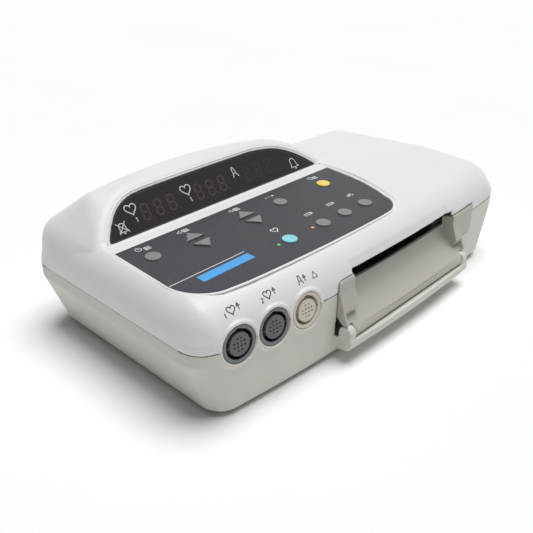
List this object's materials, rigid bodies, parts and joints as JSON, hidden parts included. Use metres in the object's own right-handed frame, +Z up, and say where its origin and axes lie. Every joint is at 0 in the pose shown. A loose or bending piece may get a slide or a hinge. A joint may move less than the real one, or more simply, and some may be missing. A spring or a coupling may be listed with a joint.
{
  "type": "fetal monitor",
  "caption": "Desk-top fetal heart monitor with a sloped key panel, smoked display window, transducer sockets and a hinged chart recorder door.",
  "frame": {"origin": "middle of the bounding box, at the level of the table", "axes": "+Z up, -Y towards the front with the door and sockets, +X to the right seen from the front"},
  "size_m": [0.468, 0.2804, 0.1506],
  "materials": {
    "case_white": "fine moulded texture, satin",
    "case_grey": "fine moulded texture, satin",
    "door_grey": "fine moulded texture, satin",
    "smoked_window": "polished, tinted dark",
    "key_print": "printed film, fine matt texture",
    "key_grey": "soft matt",
    "key_yellow": "soft matt",
    "key_turquoise": "soft matt",
    "lamp_green": "clear tinted",
    "lamp_amber": "clear tinted",
    "digit_block": "tinted face over unlit segments",
    "circuit_board": "solder mask",
    "black_plastic": "moulded",
    "socket_black": "moulded, satin",
    "socket_insert": "moulded, satin",
    "socket_cream": "moulded, satin",
    "bright_steel": "zinc plated",
    "ground_steel": "ground",
    "rear_aluminium": "brushed",
    "sink_aluminium": "extruded",
    "bronze": "sintered",
    "gear_nylon": "moulded",
    "pinion_brass": "cut",
    "spacer_nylon": "moulded",
    "motor_case": "enamelled",
    "head_ceramic": null,
    "core_iron": "varnished laminations and windings",
    "speaker_cone": "paper cone in a steel basket",
    "roller_rubber": "ground",
    "foot_rubber": "moulded"
  },
  "bodies": {
    "case": {"top_cover": "case_white", "bottom_case": "case_grey", "rear_panel": "rear_aluminium", "door_hinge_pins": "ground_steel", "door_catches": "black_plastic", "display_window": "smoked_window", "display_board": "circuit_board", "digit_module_left": "digit_block", "digit_module_middle": "digit_block", "digit_module_right": "digit_block", "keypad_sheet": "key_print", "keypad_board": "circuit_board", "key_switches": "black_plastic", "led_green": "lamp_green", "led_amber": "lamp_amber", "socket_shell_left": "socket_black", "socket_shell_middle": "socket_black", "socket_shell_right": "socket_cream", "socket_insert_left": "socket_insert", "socket_insert_middle": "socket_insert", "socket_insert_right": "socket_cream", "socket_nuts": "bright_steel", "input_board": "circuit_board", "recorder_frame": "bright_steel", "frame_screws": "bright_steel", "roller_bushes": "bronze", "recorder_motor": "motor_case", "print_head": "head_ceramic", "head_heat_sink": "sink_aluminium", "main_board": "circuit_board", "board_spacers": "spacer_nylon", "power_board": "circuit_board", "transformer": "core_iron", "speaker": "speaker_cone", "mains_inlet": "black_plastic", "switch_housing": "black_plastic", "data_sockets": "bright_steel", "earth_post": "pinion_brass", "rubber_feet": "foot_rubber", "case_screws": "bright_steel"},
    "door": {"recorder_door": "door_grey"},
    "paper_roller": {"drive_roller": "roller_rubber", "roller_shaft": "ground_steel", "roller_gear": "gear_nylon"},
    "pinion": {"motor_pinion": "pinion_brass"},
    "rocker": {"power_rocker": "black_plastic"},
    "fuse_holder": {"fuse_drawer": "black_plastic"},
    "key_top_left_cap": {"key_top_left": "key_grey"},
    "key_top_middle_cap": {"key_top_middle": "key_grey"},
    "key_yellow_cap": {"key_yellow": "key_yellow"},
    "key_turquoise_cap": {"key_turquoise": "key_turquoise"},
    "key_low_left_cap": {"key_low_left": "key_grey"},
    "key_low_middle_cap": {"key_low_middle": "key_grey"},
    "key_low_right_cap": {"key_low_right": "key_grey"},
    "key_up_left_cap": {"key_up_left": "key_grey"},
    "key_down_left_cap": {"key_down_left": "key_grey"},
    "key_up_right_cap": {"key_up_right": "key_grey"},
    "key_down_right_cap": {"key_down_right": "key_grey"}
  },
  "joints": [
    {"name": "door_hinge", "type": "hinge", "parent": "case", "child": "door", "pos_m": [0.02725, -0.12933, 0.032], "axis": [0.9999, 0.0136, 0], "range_deg": [0, 60]},
    {"name": "key_top_left_press", "type": "slide", "parent": "case", "child": "key_top_left_cap", "axis": [0, 0.0175, -0.9998], "range_m": [0, 0.0008], "stiffness_N_per_m": 1500},
    {"name": "key_top_middle_press", "type": "slide", "parent": "case", "child": "key_top_middle_cap", "axis": [0, 0.0175, -0.9998], "range_m": [0, 0.0008], "stiffness_N_per_m": 1500},
    {"name": "key_yellow_press", "type": "slide", "parent": "case", "child": "key_yellow_cap", "axis": [0, 0.0175, -0.9998], "range_m": [0, 0.0008], "stiffness_N_per_m": 1500},
    {"name": "key_turquoise_press", "type": "slide", "parent": "case", "child": "key_turquoise_cap", "axis": [0, 0.0175, -0.9998], "range_m": [0, 0.0008], "stiffness_N_per_m": 1500},
    {"name": "key_low_left_press", "type": "slide", "parent": "case", "child": "key_low_left_cap", "axis": [0, 0.0175, -0.9998], "range_m": [0, 0.0008], "stiffness_N_per_m": 1500},
    {"name": "key_low_middle_press", "type": "slide", "parent": "case", "child": "key_low_middle_cap", "axis": [0, 0.0175, -0.9998], "range_m": [0, 0.0008], "stiffness_N_per_m": 1500},
    {"name": "key_low_right_press", "type": "slide", "parent": "case", "child": "key_low_right_cap", "axis": [0, 0.0175, -0.9998], "range_m": [0, 0.0008], "stiffness_N_per_m": 1500},
    {"name": "key_up_left_press", "type": "slide", "parent": "case", "child": "key_up_left_cap", "axis": [0, 0.0175, -0.9998], "range_m": [0, 0.0008], "stiffness_N_per_m": 1500},
    {"name": "key_down_left_press", "type": "slide", "parent": "case", "child": "key_down_left_cap", "axis": [0, 0.0175, -0.9998], "range_m": [0, 0.0008], "stiffness_N_per_m": 1500},
    {"name": "key_up_right_press", "type": "slide", "parent": "case", "child": "key_up_right_cap", "axis": [0, 0.0175, -0.9998], "range_m": [0, 0.0008], "stiffness_N_per_m": 1500},
    {"name": "key_down_right_press", "type": "slide", "parent": "case", "child": "key_down_right_cap", "axis": [0, 0.0175, -0.9998], "range_m": [0, 0.0008], "stiffness_N_per_m": 1500},
    {"name": "roller_spin", "type": "hinge", "parent": "case", "child": "paper_roller", "pos_m": [0, -0.08455, 0.0915], "axis": [1, 0, 0], "continuous": true},
    {"name": "pinion_spin", "type": "hinge", "parent": "case", "child": "pinion", "pos_m": [-0.06, -0.0726, 0.07955], "axis": [1, 0, 0], "continuous": true},
    {"name": "power_switch", "type": "hinge", "parent": "case", "child": "rocker", "pos_m": [0.107, 0.12425, 0.036], "axis": [1, 0, 0], "range_deg": [0, 16]},
    {"name": "fuse_slide", "type": "slide", "parent": "case", "child": "fuse_holder", "axis": [0, 1, 0], "range_m": [0, 0.015]}
  ],
  "couplings": [
    {"joint": "pinion_spin", "follows": "roller_spin", "ratio": -2.5}
  ]
}
